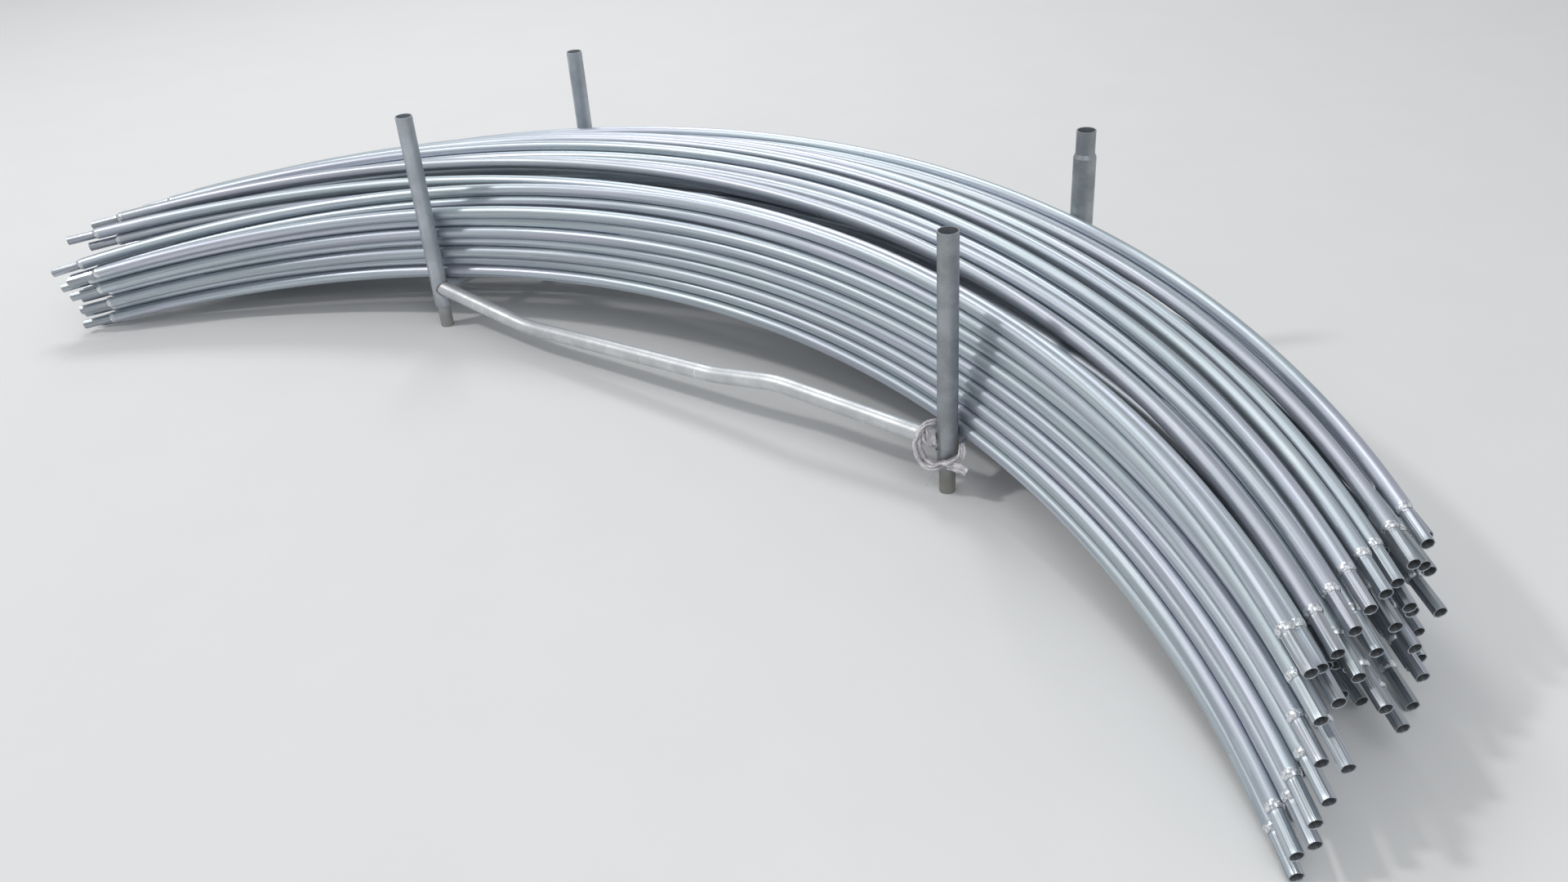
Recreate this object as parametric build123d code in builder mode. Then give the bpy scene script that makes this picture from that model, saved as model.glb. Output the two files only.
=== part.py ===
from build123d import *
import os
from math import asin, cos, degrees, hypot, radians, sin, sqrt, tan

import numpy as np
from scipy.optimize import linprog

# A bundle of bent steel tubes, greenhouse hoops, lying in a welded stacking rack.
# X runs along the rack's front, Y points to its back and Z up, in millimetres.
# Each piece is built with the middle of the rack's front at the origin. The finished
# bundle is then moved so that its origin is on the floor under the middle of its box.

# The hoops: round tube bent to one radius, squeezed to a faceted spigot at each end.
tube_od = 33.7
tube_wall = 1.5
bend_radius = 2480.0
tube_length = 4300.0
spigot_od = 27.6
spigot_length = 82.0
spigot_flats = 8
spigot_flat_depth = 0.9
shoulder_length = 9.0
stack_gap = 0.5

# The rack: four open posts, two cross bars that carry the hoops and two side rails. It is
# a little out of square, so the back posts stand shifted along X by the skew.
rack_length = 1760.0
rack_depth = 710.0
rack_skew = -27.0
post_od = 48.3
post_wall = 2.6
post_height = 650.0
foot_od = 38.0
foot_length = 62.0
stout_post_od = 57.0
stout_post_wall = 2.9
neck_od = 48.3
neck_length = 58.0
taper_length = 10.0
rail_od = 42.4
rail_wall = 2.6
cross_bar_height = 122.0
side_rail_height = 128.0

# The knees of the bent front rail: places along it from the left post, and rises.
rail_knees = [(365.0, -46.0), (1060.0, -12.0), (1270.0, 22.0)]
rail_knee_radius = 400.0

# The strip of stretch film tied round the front rail's right end and its post.
tie_reach = 62.0
tie_clearance = 4.3
tie_lift = 6.0
tie_thickness = 8.0
tie_width = 30.0
tie_slope = 40.0
tie_open_back = 12.0

# How the hoops were laid. Each course starts with one hoop of the wall that stands against
# the front posts. The others in it cross the course below. Sheets of hoops side by side
# cover the courses: how many, the shares of the rack's depth that the first and the last
# lie at, and how much closer to the front their left ends are.
course_sizes = [3, 5, 3, 3, 4, 4, 5]
sheets = [(7, 0.09, 0.95, 0.92), (9, 0.10, 1.0, 0.98)]
swing = 38.0
left_squeeze = 0.97
shake = 40.0
wall_room = 60.0
first_place = 1.07
wall_zigzag = 17.0
wall_fan = 8.0
wall_slide = 83.0
wall_mean_slide = 40.0
sheet_shake = 3.0
slide_range = 150.0
scatter_start = 30
widest_turn = 1.5

# How finely a hoop is lowered onto what lies below it.
contact_samples = 501
settling_rounds = 6
first_slope = 0.2

half_rack = rack_length / 2
hoop_lean = asin(half_rack / bend_radius)
skew_shift = rack_skew * tan(hoop_lean)
lean_back = cos(hoop_lean + radians(widest_turn))
front_limit = (post_od / 2 + tube_od / 2 + stack_gap) / lean_back
back_left_limit = rack_depth - (post_od / 2 + tube_od / 2 + stack_gap) / lean_back - skew_shift
back_right_limit = rack_depth - (stout_post_od / 2 + tube_od / 2 + stack_gap) / lean_back + skew_shift
left_room = back_left_limit - front_limit
right_room = back_right_limit - front_limit
bar_contact = (rail_od + tube_od) / 2 + stack_gap
contact = tube_od + stack_gap
end_reach = spigot_length + shoulder_length
half_angle = (tube_length / 2 - end_reach) / bend_radius
reach_angle = tube_length / 2 / bend_radius
standing = (Align.CENTER, Align.CENTER, Align.MIN)


def spread(number):
    """A repeatable scatter between -0.5 and 0.5."""
    golden = (sqrt(5) - 1) / 2
    return (number * golden) % 1 - 0.5


def hoop_frame(left, right, plane):
    """The bend centre and the in-plane directions of a hoop that lies over both cross bars."""
    level, slope_x, slope_y = plane
    half_chord = np.array([half_rack, (right - left) / 2, 0.0])
    half_chord[2] = slope_x * half_chord[0] + slope_y * half_chord[1]
    middle = np.array([0.0, (left + right) / 2, 0.0])
    middle[2] = level + slope_y * middle[1]
    normal = np.array([-slope_x, -slope_y, 1.0])
    normal /= np.linalg.norm(normal)
    reach = np.linalg.norm(half_chord)
    along = half_chord / reach
    outward = np.cross(normal, along)
    centre = middle - outward * sqrt(bend_radius**2 - reach**2)
    return centre, along, outward, normal


def height_over(points, laid_hoop):
    """How high a tube's centre has to be at each point to clear one hoop that lies there."""
    centre, along, outward, normal, slide = laid_hoop
    offset = points - centre
    offset[:, 2] = -(offset[:, :2] @ normal[:2]) / normal[2]
    sideways = offset @ along
    forward = offset @ outward
    radius = np.hypot(sideways, forward)
    apart = radius - bend_radius
    lean = (sideways * along[2] + forward * outward[2]) / radius
    square = lean**2 + normal[2] ** 2
    inside = (lean * apart) ** 2 - square * (apart**2 - contact**2)
    rise = (np.sqrt(np.maximum(inside, 0)) - lean * apart) / square
    turn = np.arctan2(sideways, forward) - slide / bend_radius
    touching = (inside > 0) & (np.abs(turn) < reach_angle + contact / 2 / bend_radius)
    return np.where(touching, centre[2] + offset[:, 2] + rise, 0)


def lowest_rest(left, right, slide, laid):
    """Lowers one hoop until it rests on the floor, the cross bars or the hoops below it."""
    turn = np.linspace(-reach_angle, reach_angle, contact_samples)
    floor_need = np.where(np.abs(turn) < half_angle, tube_od, spigot_od) / 2
    turn = turn[:, None] + slide / bend_radius
    bars = []
    for x, y, lean in ((-half_rack, left, tan(hoop_lean)), (half_rack, right, -tan(hoop_lean))):
        shift = rack_skew * y / rack_depth
        bars.append((x + shift, y + lean * shift, 0.0))
    plane = (cross_bar_height, 0.0, first_slope)
    for _ in range(settling_rounds):
        centre, along, outward, _ = hoop_frame(left, right, plane)
        points = centre + bend_radius * (np.sin(turn) * along + np.cos(turn) * outward)
        need = floor_need
        for laid_hoop in laid:
            need = np.maximum(need, height_over(points, laid_hoop))
        held = np.vstack([points, bars])
        need = np.append(need, [cross_bar_height + bar_contact] * 2)
        balance = points.mean(0)
        sides = -np.column_stack([np.ones(len(held)), held[:, 0], held[:, 1]])
        found = linprog([1, balance[0], balance[1]], A_ub=sides, b_ub=-need, bounds=(None, None))
        plane = found.x
    return plane


def held_by_posts(left, right, slide):
    """A hoop's place with both its crossings kept between the front and back posts."""
    left = min(max(left, front_limit), back_left_limit)
    right = min(max(right, front_limit), back_right_limit)
    return left, right, slide


def wall_place(course, number):
    """The hoop of one course that stands in the wall against the front posts."""
    left = front_limit + wall_zigzag * (course % 2)
    right = front_limit + wall_fan * course
    return held_by_posts(left, right, wall_mean_slide + wall_slide * spread(5 * course + number))


def hoop_places():
    """Where each hoop crosses the two bars and how far it slid, course by course."""
    courses = []
    number = scatter_start
    for course, size in enumerate(course_sizes):
        row = [wall_place(course, number)]
        side = swing if course % 2 else -swing
        for place in range(size):
            number += 1
            back = wall_room + (right_room - wall_room) * (place + first_place) / size
            left = front_limit + left_squeeze * back + side + shake * spread(number)
            right = front_limit + back - side + shake * spread(number + 9)
            row.append(held_by_posts(left, right, slide_range * spread(3 * number + 1)))
        courses.append(row)
    for size, first, last, squeeze in sheets:
        row = []
        for place in range(size):
            number += 1
            share = first + (last - first) * place / (size - 1)
            left_share = share * (squeeze + (1 - squeeze) * share)
            left = front_limit + left_room * left_share + sheet_shake * spread(number)
            right = front_limit + right_room * share + sheet_shake * spread(number + 4)
            row.append(held_by_posts(left, right, slide_range * spread(5 * number + 2)))
        courses.append(row)
    return courses


def settled_courses():
    """Every hoop's place in space, in the order in which they were laid."""
    laid = []
    courses = []
    for row in hoop_places():
        places = []
        for left, right, slide in row:
            plane = lowest_rest(left, right, slide, laid)
            centre, along, outward, normal = hoop_frame(left, right, plane)
            laid.append((centre, along, outward, normal, slide))
            bend = Plane(origin=tuple(centre), x_dir=tuple(along), z_dir=tuple(normal))
            places.append(bend.location * Rotation(0, 0, -degrees(slide / bend_radius)))
        courses.append(places)
    return courses


def make_hoop():
    """One hoop in the XY plane, bent about the origin, with its crown at +Y."""
    bore_radius = tube_od / 2 - tube_wall
    spigot_flat = spigot_od / 2 - spigot_flat_depth
    spigot_bore = spigot_flat - tube_wall
    start = Vector(sin(half_angle), cos(half_angle), 0)
    with BuildPart() as hoop:
        section_plane = Plane(origin=(0, 0, 0), x_dir=start, z_dir=start.cross(Vector(0, 0, -1)))
        with BuildSketch(section_plane):
            with Locations((bend_radius, 0)):
                Circle(tube_od / 2)
                Circle(bore_radius, mode=Mode.SUBTRACT)
        revolve(axis=Axis.Z, revolution_arc=2 * degrees(half_angle))
        for side in (1, -1):
            across = Vector(side * sin(half_angle), cos(half_angle), 0)
            outward = Vector(side * cos(half_angle), -sin(half_angle), 0)
            end = across * bend_radius
            with BuildSketch(Plane(origin=end, x_dir=across, z_dir=(0, 0, -side))):
                with BuildLine():
                    Polyline(
                        (bore_radius, 0),
                        (tube_od / 2, 0),
                        (spigot_od / 2, shoulder_length),
                        (spigot_bore, shoulder_length),
                        close=True,
                    )
                make_face()
            revolve(axis=Axis(end, outward))
            neck = end + outward * shoulder_length
            with BuildSketch(Plane(origin=neck, x_dir=(0, 0, 1), z_dir=outward)):
                Circle(spigot_od / 2)
                RegularPolygon(spigot_flat, spigot_flats, major_radius=False, mode=Mode.INTERSECT)
                Circle(spigot_bore, mode=Mode.SUBTRACT)
            extrude(amount=spigot_length)
    return hoop.part


def lay_course(hoop, places):
    """One course: the same hoop set down in each of its places, none touching another."""
    return Compound([hoop.solid().moved(place) for place in places])


def make_post(x, y, od, wall, narrow_od, narrow_length, narrow_up):
    """A round post squeezed narrower at one end, open at both."""
    outer = od / 2
    narrow = narrow_od / 2
    wide_from = narrow_length + taper_length
    profile = [
        (narrow - wall, 0),
        (narrow, 0),
        (narrow, narrow_length),
        (outer, wide_from),
        (outer, post_height),
        (outer - wall, post_height),
        (outer - wall, wide_from),
        (narrow - wall, narrow_length),
    ]
    if narrow_up:
        profile = [(radius, post_height - height) for radius, height in profile]
    with BuildPart() as post:
        with BuildSketch(Plane(origin=(x, y, 0), x_dir=(1, 0, 0), z_dir=(0, -1, 0))):
            with BuildLine():
                Polyline(*profile, close=True)
            make_face()
        revolve(axis=Axis((x, y, 0), (0, 0, 1)))
    return post.part


def bar_plane(x):
    """The plane at a front post whose normal runs along the cross bar there."""
    return Plane(origin=(x, 0, cross_bar_height), x_dir=(0, 0, 1), z_dir=(rack_skew, rack_depth, 0))


def make_cross_bar(x, back_post_od):
    """A straight bar from a front post to a back post, coped to fit round both."""
    with BuildPart() as bar:
        with BuildSketch(bar_plane(x)):
            Circle(rail_od / 2)
            Circle(rail_od / 2 - rail_wall, mode=Mode.SUBTRACT)
        extrude(amount=hypot(rack_depth, rack_skew))
        for place, od in (((x, 0, 0), post_od), ((x + rack_skew, rack_depth, 0), back_post_od)):
            with Locations(place):
                Cylinder(od / 2, post_height, align=standing, mode=Mode.SUBTRACT)
    return bar.part


def make_side_rail(skew, y, knees, left_post_od, right_post_od):
    """A rail along X between two posts, coped round them and round the cross bars' ends."""
    left_end = skew - half_rack
    right_end = skew + half_rack
    points = [(left_end, y, side_rail_height)]
    points += [(left_end + along, y, side_rail_height + rise) for along, rise in knees]
    points.append((right_end, y, side_rail_height))
    with BuildPart() as rail:
        with BuildLine() as path:
            if knees:
                FilletPolyline(*points, radius=rail_knee_radius)
            else:
                Line(*points)
        with BuildSketch(Plane(origin=path.line @ 0, x_dir=(0, 1, 0), z_dir=path.line % 0)):
            Circle(rail_od / 2)
            Circle(rail_od / 2 - rail_wall, mode=Mode.SUBTRACT)
        sweep()
        for x, od in ((left_end, left_post_od), (right_end, right_post_od)):
            with Locations((x, y, 0)):
                Cylinder(od / 2, post_height, align=standing, mode=Mode.SUBTRACT)
        for x in (-half_rack, half_rack):
            with Locations(bar_plane(x)):
                Cylinder(rail_od / 2, hypot(rack_depth, rack_skew), align=standing, mode=Mode.SUBTRACT)
    return rail.part


def make_film_tie():
    """A slanting strip of film, over the front rail's end and round the front of its post."""
    bore_y = post_od / 2 + tie_clearance
    outer_y = bore_y + tie_thickness
    half_reach = (tie_reach + outer_y) / 2
    centre_x = half_rack - tie_reach + half_reach
    slope = radians(tie_slope)
    tilted = Plane(
        origin=(centre_x, 0, side_rail_height + tie_lift - tie_width / 2),
        x_dir=(cos(slope), 0, -sin(slope)),
        z_dir=(sin(slope), 0, cos(slope)),
    )
    with BuildPart() as tie:
        with BuildSketch(tilted):
            Ellipse(half_reach / cos(slope), outer_y)
            Ellipse((half_reach - tie_thickness) / cos(slope), bore_y, mode=Mode.SUBTRACT)
        extrude(amount=tie_width, dir=(0, 0, 1))
        with Locations((centre_x, tie_open_back, 0)):
            behind = (Align.CENTER, Align.MIN, Align.MIN)
            Box(3 * tie_reach, post_od, post_height, align=behind, mode=Mode.SUBTRACT)
    return tie.part


pieces = {
    "front_left_post": make_post(-half_rack, 0, post_od, post_wall, foot_od, foot_length, False),
    "front_right_post": make_post(half_rack, 0, post_od, post_wall, foot_od, foot_length, False),
    "back_left_post": make_post(
        rack_skew - half_rack, rack_depth, post_od, post_wall, foot_od, foot_length, False
    ),
    "back_right_post": make_post(
        rack_skew + half_rack, rack_depth, stout_post_od, stout_post_wall, neck_od, neck_length, True
    ),
    "left_cross_bar": make_cross_bar(-half_rack, post_od),
    "right_cross_bar": make_cross_bar(half_rack, stout_post_od),
    "front_rail": make_side_rail(0, 0, rail_knees, post_od, post_od),
    "rear_rail": make_side_rail(rack_skew, rack_depth, [], post_od, stout_post_od),
    "film_tie": make_film_tie(),
}
hoop = make_hoop()
for number, places in enumerate(settled_courses(), 1):
    pieces[f"hoops_course_{number}"] = lay_course(hoop, places)

whole = Compound(list(pieces.values())).bounding_box()
to_origin = Location((-whole.center().X, -whole.center().Y, -whole.min.Z))
os.makedirs("parts", exist_ok=True)
for name, piece in pieces.items():
    placed = piece.moved(to_origin)
    placed.label = name
    export_step(placed, f"parts/{name}.step")
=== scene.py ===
import math

import bpy
import numpy as np
from mathutils import Matrix, Vector


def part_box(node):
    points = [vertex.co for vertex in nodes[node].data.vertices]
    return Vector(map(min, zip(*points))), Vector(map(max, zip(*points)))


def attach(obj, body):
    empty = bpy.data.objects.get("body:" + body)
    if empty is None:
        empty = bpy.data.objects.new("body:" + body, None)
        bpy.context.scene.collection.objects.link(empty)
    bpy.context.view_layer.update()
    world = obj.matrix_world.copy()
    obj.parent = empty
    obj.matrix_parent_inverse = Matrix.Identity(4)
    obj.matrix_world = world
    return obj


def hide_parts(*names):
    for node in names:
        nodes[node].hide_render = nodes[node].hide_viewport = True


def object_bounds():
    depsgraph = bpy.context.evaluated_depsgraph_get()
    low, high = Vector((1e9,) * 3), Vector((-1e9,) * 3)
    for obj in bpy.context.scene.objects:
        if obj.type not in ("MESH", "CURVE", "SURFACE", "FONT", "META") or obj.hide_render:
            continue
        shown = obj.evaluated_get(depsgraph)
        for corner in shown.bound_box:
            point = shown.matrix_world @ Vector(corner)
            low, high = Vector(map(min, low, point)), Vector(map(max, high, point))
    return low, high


# A bundle of bent galvanised pipes in a low stacking rack, in metres. The rack's steel is the
# frame's own; the pipes, the weld beads and the strip of film are made here.

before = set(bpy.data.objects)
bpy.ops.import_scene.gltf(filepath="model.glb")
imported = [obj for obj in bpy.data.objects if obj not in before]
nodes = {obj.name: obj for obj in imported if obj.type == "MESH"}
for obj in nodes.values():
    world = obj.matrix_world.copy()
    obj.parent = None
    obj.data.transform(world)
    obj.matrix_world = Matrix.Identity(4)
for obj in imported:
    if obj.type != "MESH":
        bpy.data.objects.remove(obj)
cad_low, cad_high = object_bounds()

# The pipes, as in the frame.
tube_radius = 0.01685
tube_wall = 0.0015
bend_radius = 2.48
tube_length = 4.3
spigot_radius = 0.0138
spigot_flat_depth = 0.0009
spigot_length = 0.082
shoulder_length = 0.009
spigot_flats = 8
half_length = tube_length / 2
arc_half = half_length - spigot_length - shoulder_length
spigot_bore = spigot_radius - spigot_flat_depth - tube_wall

# How a visible pipe is made: how deep its mouth is open, the rounding of its rim, the length
# of the collar before each shoulder, and the rings and sides of its mesh.
bore_shown = 0.30
rim_round = 0.0004
collar_length = 0.012
arc_rings = 36
collar_rings = 5
shoulder_rings = 4
spigot_rings = 8
sides_round_tube = 32
hard_edge = math.radians(35)

# What squeezing the ends left: wrinkles on the collar, and mouths pinched out of round.
wrinkle_depth = 0.0003
tip_pinch = 0.0018
pinch_length = 0.045

# The rack: its posts and tubes, and how steeply the front rail leaves each post.
post_radius = 0.02415
stout_post_radius = 0.0285
rail_radius = 0.0212
cross_bar_height = 0.122
side_rail_height = 0.128
left_rail_rise = -0.046 / 0.365
right_rail_rise = 0.022 / 0.49

# The weld beads: their girth and ripples, and how finely they are made.
bead_radius = 0.0028
bead_ripple = 0.0034
bead_roughness = 0.0005
bead_step = 0.0008
bead_sides = 12
weld_points = 97

# The strip of film: its pleats, as shares of half its width, and how finely it is made.
film_pleats = 7.0
film_pleat_depth = 0.16
film_thickness = 0.03
film_crumple = 0.007
film_step = 0.0015
film_sides = 56

# The rack's steel: its darkest and lightest grey and how bluish it is, and the pieces that
# are painted darker or brighter than the others, as painted shade and painted light.
rack_steels = {
    "rack_steel": (0.46, 0.58, 0.15),
    "rack_steel_painted_shade": (0.32, 0.44, 0.12),
    "rack_steel_painted_light": (0.58, 0.72, 0.05),
}
# Painted shade on the right-hand posts and painted light on the front rail.
rack_finishes = {
    "front_right_post": "rack_steel_painted_shade",
    "back_right_post": "rack_steel_painted_shade",
    "front_rail": "rack_steel_painted_light",
}

# The camera, from the middle of the rack's front, and its turns in degrees.
camera_from_front = Vector((2.205, -2.252, 1.728))
camera_heading = 38.7
camera_tilt = 58.85
camera_roll = -4.07
camera_lens = 30.41
camera_sensor = 36.0

# The lamps: place from the middle of the rack's front, size, watts and colour.
lamps = {
    "key": ((-5.0, -4.8, 8.2), 1.0, 295.0, (1.0, 0.985, 0.96)),
    "back key": ((-4.2, 3.6, 6.6), 2.6, 190.0, (0.98, 0.99, 1.0)),
    "fill": ((3.4, -2.0, 3.8), 3.0, 45.0, (0.94, 0.97, 1.0)),
}
lamp_aim = Vector((0.0, 0.2, 0.2))
sky_grey = 0.86
sky_strength = 0.68
floor_half_size = 24.0


def middle(node):
    """The middle of a node's box."""
    low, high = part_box(node)
    return (low + high) / 2


rack_front = (middle("front_left_post") + middle("front_right_post")) / 2
rack_front.z = cad_low.z


class Wire:
    """A socket of a node tree. Sums and products of wires add the maths nodes they need."""

    def __init__(self, net, socket):
        self.net = net
        self.socket = socket

    def twin(self, name):
        """Another output of the same node."""
        return Wire(self.net, self.socket.node.outputs[name])

    def maths(self, operation, *others):
        """The result of a maths node whose first value is this wire."""
        values = dict(enumerate((self, *others)))
        return self.net.add("ShaderNodeMath", {"operation": operation}, values)

    def __add__(self, other):
        return self.maths("ADD", other)

    def __radd__(self, other):
        return self.maths("ADD", other)

    def __sub__(self, other):
        return self.maths("SUBTRACT", other)

    def __rsub__(self, other):
        return self.net.add("ShaderNodeMath", {"operation": "SUBTRACT"}, {0: other, 1: self})

    def __mul__(self, other):
        return self.maths("MULTIPLY", other)

    def __rmul__(self, other):
        return self.maths("MULTIPLY", other)

    def __truediv__(self, other):
        return self.maths("DIVIDE", other)

    def __rtruediv__(self, other):
        return self.net.add("ShaderNodeMath", {"operation": "DIVIDE"}, {0: other, 1: self})


class Net:
    """A node tree being written. Every node comes from add()."""

    def __init__(self, tree):
        self.tree = tree

    def add(self, kind, settings=None, sockets=None, out=0):
        """A node of that kind, its settings first, then its sockets' values or links."""
        node = self.tree.nodes.new(kind)
        for name, value in (settings or {}).items():
            setattr(node, name, value)
        for name, value in (sockets or {}).items():
            if isinstance(value, Wire):
                self.tree.links.new(value.socket, node.inputs[name])
            else:
                node.inputs[name].default_value = value
        return Wire(self, node.outputs[out]) if node.outputs else node

    def mark(self, geometry, name, value, data_type="FLOAT", domain="POINT"):
        """The geometry with a value kept on it under a name."""
        settings = {"data_type": data_type, "domain": domain}
        sockets = {"Geometry": geometry, "Name": name, "Value": value}
        return self.add("GeometryNodeStoreNamedAttribute", settings, sockets)

    def kept(self, name, data_type="FLOAT"):
        """A value that was kept on the geometry under a name."""
        settings = {"data_type": data_type}
        return self.add("GeometryNodeInputNamedAttribute", settings, {"Name": name})

    def painted(self, name, out="Fac"):
        """A material's reading of a value that was kept on the mesh under a name."""
        return self.add("ShaderNodeAttribute", {"attribute_name": name}, out=out)

    def vector(self, operation, a, b=(0.0, 0.0, 0.0)):
        """The result of a vector maths node."""
        return self.add("ShaderNodeVectorMath", {"operation": operation}, {0: a, 1: b})

    def scaled(self, vector, factor):
        """A vector times a number."""
        sockets = {0: vector, "Scale": factor}
        return self.add("ShaderNodeVectorMath", {"operation": "SCALE"}, sockets)

    def joined(self, **parts):
        """A vector of the parts X, Y and Z that are given."""
        return self.add("ShaderNodeCombineXYZ", None, parts)

    def part(self, vector, axis="X"):
        """One part of a vector. Its twins are the others."""
        return self.add("ShaderNodeSeparateXYZ", None, {0: vector}, axis)

    def noise(self, place, scale, detail=3.0, roughness=0.55):
        """A noise pattern."""
        sockets = {"Vector": place, "Scale": scale, "Detail": detail, "Roughness": roughness}
        return self.add("ShaderNodeTexNoise", None, sockets)

    def grain(self, place, stretch, detail=3.0):
        """A noise pattern that is stretched, by its scale along X, Y and Z."""
        return self.noise(self.vector("MULTIPLY", place, stretch), 1.0, detail)

    def ramp(self, value, low, high, to_low=0.0, to_high=1.0):
        """A value from low to high taken smoothly to another range, and held beyond it."""
        sockets = {"Value": value, "From Min": low, "From Max": high}
        sockets |= {"To Min": to_low, "To Max": to_high}
        return self.add("ShaderNodeMapRange", {"interpolation_type": "SMOOTHSTEP"}, sockets)

    def mix(self, factor, a, b):
        """One colour over another."""
        sockets = {0: factor, 6: a, 7: b}
        return self.add("ShaderNodeMix", {"data_type": "RGBA"}, sockets, out=2)

    def layered(self, colour, layers):
        """A colour with others laid over it in turn, each as far as its mask says."""
        for mask, over in layers:
            colour = self.mix(mask, colour, over)
        return colour


def grey(value, blue=0.0):
    """A neutral or slightly bluish colour."""
    return (value * (1 - blue), value * (1 - blue / 2), value, 1.0)


def new_material(name):
    """An empty material and the net that its nodes are added to."""
    material = bpy.data.materials.new(name)
    material.use_nodes = True
    material.node_tree.nodes.clear()
    return material, Net(material.node_tree)


def finish_material(net, shader_sockets, bump_height=None, bump_distance=0.001):
    """The surface shader and the output, with an optional bump."""
    if bump_height is not None:
        bump = {"Height": bump_height, "Distance": bump_distance, "Strength": 1.0}
        shader_sockets["Normal"] = net.add("ShaderNodeBump", None, bump)
    shader = net.add("ShaderNodeBsdfPrincipled", None, shader_sockets)
    net.add("ShaderNodeOutputMaterial", None, {"Surface": shader})


def galvanised_tube_material():
    """Bright zinc on the pipes, streaked along them, with a crinkled collar at each end."""
    material, net = new_material("galvanised_tube")
    place = net.painted("pipe_place", "Vector")
    tone = net.painted("pipe_tone")
    inside = net.painted("pipe_inside")
    outside = 1.0 - inside

    # The patterns, which every pipe reads at another place along them.
    shifted = net.vector("ADD", place, net.joined(X=tone * 37.0))
    streak = net.grain(shifted, (1.1, 150.0, 150.0))
    fine = net.grain(shifted, (8.0, 700.0, 700.0))
    cloud = net.grain(shifted, (4.0, 26.0, 26.0), 4.0)
    tint = net.grain(shifted, (1.6, 20.0, 20.0), 2.0)
    speck = net.ramp(net.grain(shifted, (240.0, 400.0, 400.0), 1.0), 0.70, 0.78)
    crinkle = net.grain(shifted, (160.0, 330.0, 330.0), 2.0)
    flute = net.grain(shifted, (3.0, 330.0, 330.0), 2.0)

    # Where the collar, the ring of painted shade behind the shoulder, the spigot and its rim are.
    from_end = net.part(place).maths("ABSOLUTE") - arc_half
    to_tip = half_length - arc_half
    from_collar = (from_end - 0.001).maths("ABSOLUTE")
    collar = net.ramp(from_collar, 0.005, 0.009, 1.0, 0.0) * outside
    from_groove = (from_end - shoulder_length).maths("ABSOLUTE")
    groove_shade = net.ramp(from_groove, 0.0006, 0.0022, 1.0, 0.0) * outside
    spigot = net.ramp(from_end, shoulder_length, shoulder_length + 0.003) * outside
    rim = net.ramp(from_end, to_tip - 0.0016, to_tip - 0.0006)

    dark_zinc, light_zinc = grey(0.47, 0.21), grey(0.73, 0.17)
    lilac = (0.60, 0.57, 0.68, 1.0)
    sea_green = (0.54, 0.62, 0.62, 1.0)
    dull_zinc = (0.45, 0.46, 0.51, 1.0)
    layers = [
        (net.ramp(tint, 0.48, 0.66, 0.0, 0.35), lilac),
        (net.ramp(tint, 0.52, 0.36, 0.0, 0.35), sea_green),
        (net.ramp(tone, 0.4, 1.0, 0.0, 0.5), dull_zinc),
        (net.ramp(cloud, 0.58, 0.72) * net.ramp(fine, 0.45, 0.60) * 0.4, grey(0.82, 0.02)),
        (speck * 0.35, grey(0.20, 0.05)),
        (spigot * net.ramp(flute, 0.48, 0.60) * 0.7, grey(0.26, 0.06)),
        # Painted highlight: the collar's crinkles are painted near white.
        (collar * net.ramp(crinkle, 0.42, 0.58), grey(0.92, 0.01)),
        # Painted shade: a dark ring just behind each shoulder.
        (groove_shade * 0.6, grey(0.16, 0.04)),
        # Painted shade: the wall inside each mouth is painted dark grey, all but the rim.
        (inside * (1.0 - rim), grey(0.24, 0.08)),
    ]
    streaked = net.mix(net.ramp(streak, 0.32, 0.68), dark_zinc, light_zinc)
    rough = net.ramp(streak, 0.3, 0.7, 0.52, 0.38) + cloud * 0.08 + speck * 0.15
    rough = rough - spigot * 0.12 - collar * 0.16
    bump = streak * 0.5 + fine * 0.3 + speck * 0.2 + collar * crinkle * 2.4 + spigot * flute * 3.4
    shader = {
        "Base Color": net.layered(streaked, layers),
        "Metallic": 0.92 - inside * 0.3,
        "Roughness": rough,
    }
    finish_material(net, shader, bump, bump_distance=0.00025)
    return material


def rack_steel_material(name, dark, light, blue):
    """Duller, older zinc on the rack, blotched and scratched, between two greys."""
    material, net = new_material(name)
    place = net.add("ShaderNodeTexCoord", out="Object")
    blotch = net.noise(place, 12.0, 5.0, 0.62)
    drawn = net.noise(net.vector("MULTIPLY", place, (1.0, 1.0, 0.05)), 210.0, 3.0)
    pit = net.ramp(net.noise(place, 420.0, 1.0), 0.68, 0.76)
    scratch = net.noise(net.vector("MULTIPLY", place, (1.0, 1.0, 0.02)), 90.0, 2.0)
    scratched = net.ramp(scratch, 0.64, 0.68) * net.ramp(blotch, 0.45, 0.6)
    height = net.part(place, "Z") - cad_low.z
    # The posts turn darker and browner towards the floor.
    foot = net.ramp(height + blotch * 0.05, 0.060, 0.120, 1.0, 0.0)

    foot_brown = (0.23, 0.20, 0.15, 1.0)
    layers = [
        (scratched * 0.6, grey(light * 1.35, blue)),
        (pit * 0.6, grey(dark * 0.5)),
        (foot * 0.55, foot_brown),
    ]
    blotched = net.mix(net.ramp(blotch, 0.35, 0.68), grey(dark, blue), grey(light, blue))
    shader = {
        "Base Color": net.layered(blotched, layers),
        "Metallic": 0.7 - foot * 0.3,
        "Roughness": net.ramp(blotch, 0.3, 0.7, 0.50, 0.38) + pit * 0.15 + foot * 0.2,
    }
    bump = blotch * 0.4 + drawn * 0.25 + pit * -0.4
    finish_material(net, shader, bump, bump_distance=0.0005)
    return material


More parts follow.
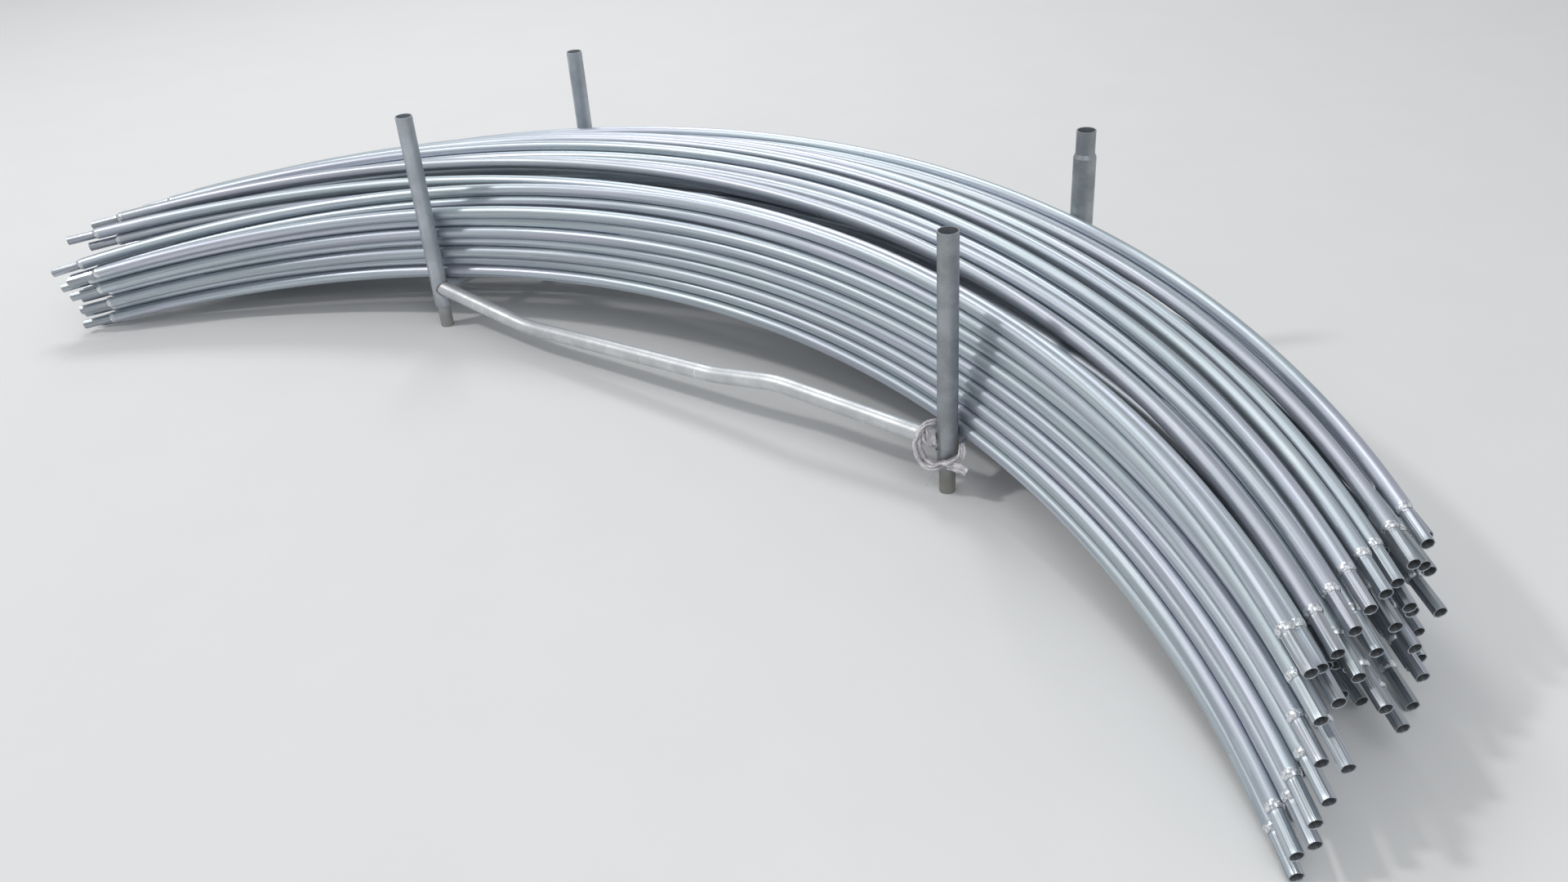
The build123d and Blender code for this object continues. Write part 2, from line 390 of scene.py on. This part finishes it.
def weld_material():
    """Bare weld metal gone dull, with patches of brown."""
    material, net = new_material("weld_metal")
    patch = net.noise(net.add("ShaderNodeTexCoord", out="Object"), 90.0, 3.0)
    weld_brown = (0.20, 0.13, 0.085, 1.0)
    shader = {
        "Base Color": net.mix(net.ramp(patch, 0.40, 0.65), grey(0.30, 0.03), weld_brown),
        "Metallic": 0.6,
        "Roughness": net.ramp(patch, 0.3, 0.7, 0.4, 0.7),
    }
    finish_material(net, shader, patch, bump_distance=0.0006)
    return material


def film_material():
    """Crumpled stretch film: milky where it is gathered, glossy and partly see-through."""
    material, net = new_material("stretch_film")
    along = net.painted("film_along")
    across = net.painted("film_across")
    crease = net.noise(net.joined(X=along * 55.0, Y=across * 4.0), 1.0, 5.0, 0.6)
    fold = net.noise(net.add("ShaderNodeTexCoord", out="Object"), 60.0, 3.0)
    thin_film, milky_film = (0.50, 0.47, 0.50, 1.0), (0.88, 0.86, 0.88, 1.0)
    film_dirt = (0.44, 0.38, 0.30, 1.0)
    body = net.mix(net.ramp(crease, 0.35, 0.62), thin_film, milky_film)
    shader = {
        "Base Color": net.mix(net.ramp(fold, 0.58, 0.72) * 0.4, body, film_dirt),
        "Roughness": net.ramp(crease, 0.3, 0.7, 0.22, 0.42),
        "Alpha": net.ramp(fold + crease * 0.3, 0.50, 0.78, 0.60, 0.97),
        "IOR": 1.49,
    }
    finish_material(net, shader, crease, bump_distance=0.0022)
    return material


def floor_material():
    """A plain pale floor."""
    material, net = new_material("pale_floor")
    patch = net.noise(net.add("ShaderNodeTexCoord", out="Object"), 3.0)
    body = net.mix(patch, grey(0.70), grey(0.73))
    finish_material(net, {"Base Color": body, "Roughness": 0.85})
    return material


materials = {
    "galvanised_tube": galvanised_tube_material(),
    "weld_metal": weld_material(),
    "stretch_film": film_material(),
    "pale_floor": floor_material(),
}
for steel, greys in rack_steels.items():
    materials[steel] = rack_steel_material(steel, *greys)


def mesh_object(name, mesh):
    """A mesh put in the scene as an object."""
    made = bpy.data.objects.new(name, mesh)
    bpy.context.scene.collection.objects.link(made)
    return made


def islands(node):
    """The separate solids of a node, each as its points, in the order of their meshes."""
    mesh = nodes[node].data
    points = np.zeros(len(mesh.vertices) * 3)
    mesh.vertices.foreach_get("co", points)
    points = points.reshape(-1, 3)
    corners = np.zeros(len(mesh.loops), int)
    mesh.loops.foreach_get("vertex_index", corners)
    _, same = np.unique(np.round(points, 6), axis=0, return_inverse=True)
    faces = same.ravel()[corners].reshape(-1, 3)
    label = np.arange(faces.max() + 1)
    while True:
        least = label[faces].min(axis=1)
        wider = label.copy()
        np.minimum.at(wider, faces.ravel(), np.repeat(least, 3))
        wider = wider[wider]
        if np.array_equal(wider, label):
            break
        label = wider
    owner = label[same.ravel()]
    return [points[owner == name] for name in np.unique(owner)]


def bend_of(points):
    """The bend centre of one pipe and its turn: along the crown, outwards and square to both."""
    centroid = points.mean(axis=0)
    offset = points - centroid
    _, _, axes = np.linalg.svd(offset.T @ offset)
    normal = axes[2] * np.sign(axes[2][2])
    across = offset @ axes[0]
    forward = offset @ np.cross(normal, axes[0])
    known = np.column_stack([2 * across, 2 * forward, np.ones(len(offset))])
    found = np.linalg.lstsq(known, across**2 + forward**2, rcond=None)[0]
    to_centre = found[0] * axes[0] + found[1] * np.cross(normal, axes[0])
    outward = -to_centre / np.linalg.norm(to_centre)
    along = np.cross(outward, normal)
    crown = (offset @ outward).max() - tube_radius
    return centroid + outward * (crown - bend_radius), along, outward, normal


def new_tree(name, inputs):
    """A geometry tree's net and its inputs, which have a geometry and these names and kinds."""
    tree = bpy.data.node_groups.new(name, "GeometryNodeTree")
    for label, kind in [("Geometry", "Geometry"), *inputs]:
        tree.interface.new_socket(label, in_out="INPUT", socket_type=f"NodeSocket{kind}")
    tree.interface.new_socket("Geometry", in_out="OUTPUT", socket_type="NodeSocketGeometry")
    net = Net(tree)
    return net, net.add("NodeGroupInput")


def finish_tree(net, geometry, material, hardest=None):
    """The output: the geometry smooth, but for edges past an angle, and in its material."""
    smooth = {"Geometry": geometry, "Shade Smooth": True}
    geometry = net.add("GeometryNodeSetShadeSmooth", {"domain": "FACE"}, smooth)
    if hardest is not None:
        angle = net.add("GeometryNodeInputMeshEdgeAngle", None, None, "Unsigned Angle")
        smooth = {"Geometry": geometry, "Shade Smooth": angle.maths("LESS_THAN", hardest)}
        geometry = net.add("GeometryNodeSetShadeSmooth", {"domain": "EDGE"}, smooth)
    coated = {"Geometry": geometry, "Material": material}
    geometry = net.add("GeometryNodeSetMaterial", None, coated)
    net.add("NodeGroupOutput", None, {"Geometry": geometry})


def apply_nodes(source, tree, inputs, name):
    """The plain mesh that a tree makes of some geometry, as a new object."""
    modifier = source.modifiers.new("nodes", "NODES")
    modifier.node_group = tree
    for item in tree.interface.items_tree:
        if item.in_out == "INPUT" and item.name in inputs:
            modifier[item.identifier] = inputs[item.name]
    seen = source.evaluated_get(bpy.context.evaluated_depsgraph_get())
    mesh = bpy.data.meshes.new_from_object(seen)
    mesh.name = name
    source.modifiers.remove(modifier)
    bpy.data.objects.remove(source)
    return mesh_object(name, mesh)


def face_outwards(mesh):
    """Turns the faces round where the mesh is inside out."""
    mesh.calc_loop_triangles()
    points = np.array([v.co for v in mesh.vertices])
    corners = np.array([t.vertices for t in mesh.loop_triangles])
    a, b, c = (points[corners[:, k]] for k in range(3))
    volume = np.einsum("ij,ij->i", a, np.cross(b, c)).sum()
    if volume < 0:
        mesh.flip_normals()


def pipe_outline():
    """The pipe's outline as turned on a lathe: place along it, radius and how faceted it is."""
    shoulder_end = arc_half + shoulder_length
    bore = tube_radius - tube_wall
    mouth = half_length - bore_shown
    bend = np.linspace(0, arc_half - collar_length, arc_rings)
    collar = arc_half - np.linspace(collar_length, 0, collar_rings)[1:]
    half = [(place, tube_radius, 0.0) for place in (*bend, *collar)]
    for step in range(1, shoulder_rings + 1):
        share = step / shoulder_rings
        swell = 0.5 - 0.5 * math.cos(math.pi * share)
        radius = tube_radius + (spigot_radius - tube_radius) * swell
        half.append((arc_half + shoulder_length * share, radius, swell))
    for place in np.linspace(shoulder_end, half_length - 2 * rim_round, spigot_rings)[1:]:
        half.append((place, spigot_radius, 1.0))
    half += [
        (half_length - rim_round * 0.3, spigot_radius - rim_round * 0.3, 1.0),
        (half_length, spigot_radius - rim_round * 1.2, 1.0),
        (half_length, spigot_bore + rim_round, 0.3),
        (half_length - rim_round, spigot_bore, 0.0),
        (shoulder_end, spigot_bore, 0.0),
        (arc_half, bore, 0.0),
        (mouth, bore, 0.0),
        (mouth, 0.0, 0.0),
    ]
    whole = [(-place, radius, facet) for place, radius, facet in half[:0:-1]] + half
    mesh = bpy.data.meshes.new("pipe_outline")
    mesh.from_pydata(whole, [], [])
    inside = [float(radius < spigot_radius - tube_wall * 0.9) for _, radius, _ in whole]
    mesh.attributes.new("inside", "FLOAT", "POINT").data.foreach_set("value", inside)
    return mesh_object("pipe_outline", mesh)


def turned_pipe(net, given):
    """One pipe: the outline turned, faceted at the spigots and bent."""
    outline = {"Object": given.twin("Outline")}
    outline = net.add("GeometryNodeObjectInfo", None, outline, "Geometry")
    columns = sides_round_tube + 1
    grid = {"Size X": 1.0, "Size Y": 1.0, "Vertices X": given.twin("Rings"), "Vertices Y": columns}
    grid = net.add("GeometryNodeMeshGrid", None, grid, "Mesh")
    index = net.add("GeometryNodeInputIndex")
    ring = (index / columns).maths("FLOOR")
    turn = (index - ring * columns) * (2 * math.pi / sides_round_tube)

    def of_ring(value, data_type):
        """A value of the outline's point that a ring is made from."""
        settings = {"data_type": data_type, "domain": "POINT"}
        sockets = {"Geometry": outline, "Value": value, "Index": ring}
        return net.add("GeometryNodeSampleIndex", settings, sockets)

    place = net.part(of_ring(net.add("GeometryNodeInputPosition"), "FLOAT_VECTOR"))
    round_radius = place.twin("Y")
    facet = place.twin("Z")
    inside = of_ring(net.kept("inside"), "FLOAT")
    corner = turn.maths("MODULO", 2 * math.pi / spigot_flats) - math.pi / spigot_flats
    flat = (round_radius - given.twin("Flat Depth")) / corner.maths("COSINE")
    flat_radius = flat.maths("MINIMUM", round_radius)
    radius = round_radius * (1.0 - facet) + flat_radius * facet
    section_y = radius * turn.maths("COSINE")
    section_z = radius * turn.maths("SINE")

    arc_end = given.twin("Arc Half")
    bent = place.maths("MAXIMUM", arc_end * -1.0).maths("MINIMUM", arc_end)
    beyond = place - bent
    angle = bent / given.twin("Bend Radius")
    reach = given.twin("Bend Radius") + section_y
    x = reach * angle.maths("SINE") + beyond * angle.maths("COSINE")
    y = reach * angle.maths("COSINE") - beyond * angle.maths("SINE")
    straight = net.joined(X=place, Y=section_y, Z=section_z)
    marked = net.mark(grid, "pipe_place", straight, "FLOAT_VECTOR")
    marked = net.mark(marked, "pipe_inside", inside)
    bent_pipe = {"Geometry": marked, "Position": net.joined(X=x, Y=y, Z=section_z)}
    bent_pipe = net.add("GeometryNodeSetPosition", None, bent_pipe)
    merged = {"Geometry": bent_pipe, "Distance": 1e-6}
    return net.add("GeometryNodeMergeByDistance", None, merged)


def squeezed_ends(net, given, pipes):
    """The pipes with wrinkled collars and mouths out of round, each in its own way."""
    place = net.kept("pipe_place", "FLOAT_VECTOR")
    from_middle = net.part(place).maths("ABSOLUTE")
    from_collar = from_middle - given.twin("Arc Half") - shoulder_length / 4
    collar = net.ramp(from_collar.maths("ABSOLUTE"), 0.003, 0.010, 1.0, 0.0)
    depth = collar * (1.0 - net.kept("pipe_inside")) * given.twin("Wrinkle Depth")
    shifted = net.vector("ADD", place, net.joined(X=net.kept("pipe_tone") * 11.0))
    ripple = net.grain(shifted, (70.0, 190.0, 190.0), 1.0) - 0.5
    wrinkle = net.scaled(net.add("GeometryNodeInputNormal"), ripple * depth)
    tip = net.ramp(from_middle, half_length - pinch_length, half_length) * given.twin("Tip Pinch")
    dent = net.grain(shifted, (6.0, 45.0, 45.0), 0.0) - 0.5
    section = net.vector("NORMALIZE", net.vector("MULTIPLY", place, (0.0, 1.0, 1.0)))
    pinch = net.joined(Z=net.part(section, "Z") * dent * tip)
    squeezed = {"Geometry": pipes, "Offset": net.vector("ADD", wrinkle, pinch)}
    return net.add("GeometryNodeSetPosition", None, squeezed)


def pipe_nodes():
    """The tree that sets down one bent pipe at each point it is given."""
    inputs = [("Outline", "Object"), ("Material", "Material"), ("Rings", "Int")]
    for name in ("Bend Radius", "Arc Half", "Flat Depth", "Wrinkle Depth", "Tip Pinch"):
        inputs.append((name, "Float"))
    net, given = new_tree("bent_pipes", [*inputs, ("Seed", "Int")])
    laid = {
        "Points": given.twin("Geometry"),
        "Instance": turned_pipe(net, given),
        "Rotation": net.kept("facing", "QUATERNION"),
    }
    laid = net.add("GeometryNodeInstanceOnPoints", None, laid)
    seed = {"Seed": given.twin("Seed")}
    tone = net.add("FunctionNodeRandomValue", {"data_type": "FLOAT"}, seed, out=1)
    laid = net.mark(laid, "pipe_tone", tone, domain="INSTANCE")
    real = net.add("GeometryNodeRealizeInstances", None, {"Geometry": laid})
    finish_tree(net, squeezed_ends(net, given, real), given.twin("Material"), hard_edge)
    return net.tree


def make_pipes():
    """The visible pipes, one piece for each course, in the places of the frame's own."""
    outline = pipe_outline()
    tree = pipe_nodes()
    courses = sorted(name for name in nodes if name.startswith("hoops_course_"))
    for number, node in enumerate(courses, 1):
        bends = [bend_of(points) for points in islands(node)]
        mesh = bpy.data.meshes.new("places")
        mesh.from_pydata([tuple(bend[0]) for bend in bends], [], [])
        facing = mesh.attributes.new("facing", "QUATERNION", "POINT")
        for spot, (_, along, outward, normal) in zip(facing.data, bends):
            spot.value = Matrix((along, outward, normal)).transposed().to_quaternion()
        inputs = {
            "Outline": outline,
            "Material": materials["galvanised_tube"],
            "Rings": len(outline.data.vertices),
            "Bend Radius": bend_radius,
            "Arc Half": arc_half,
            "Flat Depth": spigot_flat_depth,
            "Wrinkle Depth": wrinkle_depth,
            "Tip Pinch": tip_pinch,
            "Seed": number,
        }
        places = mesh_object("places", mesh)
        pipes = apply_nodes(places, tree, inputs, f"galvanised_pipes_{number}")
        face_outwards(pipes.data)
        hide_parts(node)
        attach(pipes, "root")
    bpy.data.objects.remove(outline)


def dress_rack():
    """The rack's own solids take their finish."""
    for name, node in nodes.items():
        if name.startswith("hoops_course_") or name == "film_tie":
            continue
        node.data.materials.clear()
        node.data.materials.append(materials[rack_finishes.get(name, "rack_steel")])


def lines_object(name, lines):
    """Open lines of points, in metres from the rack's front, as a mesh of edges."""
    mesh = bpy.data.meshes.new(name)
    points = []
    edges = []
    for line in lines:
        edges += [(len(points) + k, len(points) + k + 1) for k in range(len(line) - 1)]
        points += [tuple(rack_front + Vector(point)) for point in line]
    mesh.from_pydata(points, edges, [])
    return mesh_object(name, mesh)


def swept(net, line, radius, sides, girth, section=None):
    """A closed tube round a line, with capped ends and a section that may be reshaped."""
    ring = {"Resolution": sides, "Radius": radius}
    ring = net.add("GeometryNodeCurvePrimitiveCircle", None, ring)
    if section is not None:
        ring = section(ring)
    tube = {"Curve": line, "Profile Curve": ring, "Scale": girth, "Fill Caps": True}
    return net.add("GeometryNodeCurveToMesh", None, tube)


def bead_nodes():
    """The tree that runs a rippled weld bead along lines."""
    inputs = [("Material", "Material")]
    inputs += [(name, "Float") for name in ("Bead Radius", "Ripple Length", "Roughness")]
    net, given = new_tree("weld_beads", inputs)
    line = net.add("GeometryNodeMeshToCurve", None, {"Mesh": given.twin("Geometry")})
    line = {"Curve": line, "Length": bead_step}
    line = net.add("GeometryNodeResampleCurve", {"mode": "LENGTH"}, line)
    along = net.add("GeometryNodeSplineParameter").twin("Length")
    wave = (along * (2 * math.pi) / given.twin("Ripple Length")).maths("SINE")
    spot = net.add("GeometryNodeInputPosition")
    lump = net.noise(spot, 260.0, 2.0) - 0.5
    swell = 1.0 + wave * 0.16 + lump * 0.9
    bead = swept(net, line, given.twin("Bead Radius"), bead_sides, swell)
    rough = (net.noise(spot, 900.0, 2.0) - 0.5) * given.twin("Roughness")
    push = net.scaled(net.add("GeometryNodeInputNormal"), rough)
    bead = net.add("GeometryNodeSetPosition", None, {"Geometry": bead, "Offset": push})
    finish_tree(net, bead, given.twin("Material"))
    return net.tree


def weld_line(post, radius, toward, height, others):
    """Where a tube that leaves a post in a direction meets it, outside the post's other tubes."""
    direction = Vector(toward).normalized()
    across = direction.cross(Vector((0, 0, 1))).normalized()
    up = across.cross(direction)
    level = math.hypot(direction.x, direction.y)
    lines = [[]]
    for turn in np.linspace(0, 2 * math.pi, weld_points):
        sideways = rail_radius * math.cos(turn)
        rise = rail_radius * math.sin(turn)
        reach = math.sqrt(radius**2 - sideways**2)
        tilted_back = rise * math.hypot(up.x, up.y) * (-1 if direction.z > 0 else 1)
        point = across * sideways + up * rise + direction * ((reach - tilted_back) / level)
        point.z += height
        hidden = False
        for other, other_height in others:
            axis = Vector(other).normalized()
            offset = point - Vector((0, 0, other_height))
            beside = (offset - axis * offset.dot(axis)).length
            if offset.dot(axis) > 0 and beside < rail_radius:
                hidden = True
        if hidden:
            lines.append([])
        else:
            lines[-1].append(point + Vector((post[0], post[1], 0)))
    return [line for line in lines if len(line) > 3]


def make_weld_beads():
    """The beads where the bars and rails meet the posts, as one piece."""
    corners = {name: middle(name) - rack_front for name in nodes if name.endswith("_post")}
    left_front, right_front = corners["front_left_post"], corners["front_right_post"]
    left_back, right_back = corners["back_left_post"], corners["back_right_post"]
    joints = [
        (left_front, post_radius, left_back, (1, 0, left_rail_rise)),
        (right_front, post_radius, right_back, (-1, 0, right_rail_rise)),
        (left_back, post_radius, left_front, (1, 0, 0)),
        (right_back, stout_post_radius, right_front, (-1, 0, 0)),
    ]
    lines = []
    for post, radius, opposite, along_rail in joints:
        along_bar = (opposite.x - post.x, opposite.y - post.y, 0)
        bar = (along_bar, cross_bar_height)
        rail = (along_rail, side_rail_height)
        lines += weld_line(post, radius, *bar, [rail])
        lines += weld_line(post, radius, *rail, [bar])
    inputs = {
        "Material": materials["weld_metal"],
        "Bead Radius": bead_radius,
        "Ripple Length": bead_ripple,
        "Roughness": bead_roughness,
    }
    beads = apply_nodes(lines_object("weld_lines", lines), bead_nodes(), inputs, "weld_beads")
    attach(beads, "root")


def film_nodes():
    """The tree that pleats thin film along lines, by their own half widths and tilts."""
    inputs = [("Material", "Material")]
    inputs += [(name, "Float") for name in ("Pleats", "Pleat Depth", "Thickness", "Crumple")]
    net, given = new_tree("gathered_film", inputs)
    spot = net.add("GeometryNodeInputPosition")

    def pleated(ring):
        """A circle flattened to a thin strip with pleats."""
        across = net.part(spot)
        pleat = (across * given.twin("Pleats")).maths("SINE") * given.twin("Pleat Depth")
        rise = pleat + across.twin("Y") * given.twin("Thickness")
        ring = net.mark(ring, "film_across", across)
        ring = {"Geometry": ring, "Position": net.joined(X=across, Y=rise, Z=0.0)}
        return net.add("GeometryNodeSetPosition", None, ring)

    line = net.add("GeometryNodeMeshToCurve", None, {"Mesh": given.twin("Geometry")})
    smooth = {"spline_type": "CATMULL_ROM"}
    line = net.add("GeometryNodeCurveSplineType", smooth, {"Curve": line})
    line = {"Curve": line, "Length": film_step}
    line = net.add("GeometryNodeResampleCurve", {"mode": "LENGTH"}, line)
    line = net.mark(line, "film_along", net.add("GeometryNodeSplineParameter").twin("Length"))
    line = {"Curve": line, "Tilt": net.kept("tilt")}
    line = net.add("GeometryNodeSetCurveTilt", None, line)
    film = swept(net, line, 1.0, film_sides, net.kept("girth"), pleated)
    crumple = {"Vector": spot, "Scale": 60.0, "Detail": 3.0}
    crumple = net.add("ShaderNodeTexNoise", None, crumple, "Color")
    crumple = net.vector("SUBTRACT", crumple, (0.5, 0.5, 0.5))
    push = net.scaled(crumple, given.twin("Crumple"))
    film = net.add("GeometryNodeSetPosition", None, {"Geometry": film, "Offset": push})
    finish_tree(net, film, given.twin("Material"))
    return net.tree


def make_film():
    """The strip gathered round the rail's end and its post, its wad, loose end and strand."""
    # Places from the middle of the rack's front, and half the width that the strip has there.
    loop = [
        (0.856, 0.014, 0.166, 0.010),
        (0.843, -0.002, 0.173, 0.012),
        (0.829, -0.020, 0.170, 0.013),
        (0.819, -0.032, 0.152, 0.015),
        (0.815, -0.038, 0.124, 0.018),
        (0.824, -0.041, 0.098, 0.022),
        (0.842, -0.041, 0.080, 0.023),
        (0.864, -0.037, 0.078, 0.018),
        (0.884, -0.036, 0.092, 0.013),
        (0.902, -0.031, 0.096, 0.018),
        (0.917, -0.013, 0.110, 0.014),
        (0.911, 0.004, 0.133, 0.007),
    ]
    inner = [(x + 0.005, y + 0.003, z + 0.003, 0.6 * girth) for x, y, z, girth in loop]
    wad = [
        (0.834, -0.016, 0.160, 0.012),
        (0.845, -0.027, 0.148, 0.018),
        (0.854, -0.030, 0.130, 0.012),
    ]
    loose_end = [
        (0.898, -0.034, 0.090, 0.008),
        (0.922, -0.034, 0.096, 0.012),
        (0.946, -0.028, 0.086, 0.010),
    ]
    strand = [
        (0.880, -0.040, 0.082, 0.003),
        (0.862, -0.042, 0.052, 0.002),
        (0.842, -0.036, 0.016, 0.0012),
    ]
    ropes = [
        (loop, 0.3),
        (inner, 1.5),
        (inner, 2.4),
        (wad, 0.4),
        (wad, 1.8),
        (loose_end, 1.2),
        (strand, 0.0),
    ]
    lines = lines_object("film_lines", [[point[:3] for point in rope] for rope, _ in ropes])
    values = {
        "girth": [point[3] for rope, _ in ropes for point in rope],
        "tilt": [tilt for rope, tilt in ropes for _ in rope],
    }
    for name, amounts in values.items():
        kept = lines.data.attributes.new(name, "FLOAT", "POINT")
        kept.data.foreach_set("value", amounts)
    inputs = {
        "Material": materials["stretch_film"],
        "Pleats": film_pleats,
        "Pleat Depth": film_pleat_depth,
        "Thickness": film_thickness,
        "Crumple": film_crumple,
    }
    film = apply_nodes(lines, film_nodes(), inputs, "knotted_film")
    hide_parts("film_tie")
    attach(film, "root")


def make_floor():
    """The pale floor that the rack stands on."""
    size = floor_half_size
    mesh = bpy.data.meshes.new("floor")
    corners = [(-size, -size), (size, -size), (size, size), (-size, size)]
    mesh.from_pydata([(x, y, cad_low.z) for x, y in corners], [], [(0, 1, 2, 3)])
    mesh.materials.append(materials["pale_floor"])
    mesh_object("floor", mesh)


def light_scene():
    """The lamps, turned to the rack, and a plain grey sky."""
    for name, (place, size, watts, colour) in lamps.items():
        lamp = bpy.data.lights.new(name, "AREA")
        lamp.shape = "DISK"
        lamp.size = size
        lamp.energy = watts
        lamp.color = colour
        light = bpy.data.objects.new(name, lamp)
        bpy.context.scene.collection.objects.link(light)
        light.location = rack_front + Vector(place)
        light.rotation_mode = "QUATERNION"
        aim = rack_front + lamp_aim - light.location
        light.rotation_quaternion = aim.to_track_quat("-Z", "Y")
    world = bpy.data.worlds.new("studio")
    bpy.context.scene.world = world
    world.use_nodes = True
    world.node_tree.nodes.clear()
    net = Net(world.node_tree)
    sky = {"Color": grey(sky_grey, 0.04), "Strength": sky_strength}
    sky = net.add("ShaderNodeBackground", None, sky)
    net.add("ShaderNodeOutputWorld", None, {"Surface": sky})


def make_camera():
    """The camera where the photograph was taken from."""
    data = bpy.data.cameras.new("camera")
    data.sensor_width = camera_sensor
    data.lens = camera_lens
    camera = bpy.data.objects.new("camera", data)
    bpy.context.scene.collection.objects.link(camera)
    turns = Matrix.Rotation(math.radians(camera_heading), 4, "Z")
    turns = turns @ Matrix.Rotation(math.radians(camera_tilt), 4, "X")
    turns = turns @ Matrix.Rotation(math.radians(camera_roll), 4, "Z")
    camera.matrix_world = Matrix.Translation(rack_front + camera_from_front) @ turns
    bpy.context.scene.camera = camera


make_camera()
dress_rack()
make_pipes()
make_weld_beads()
make_film()
make_floor()
light_scene()
bpy.context.scene.view_settings.view_transform = "Standard"
bpy.context.view_layer.update()
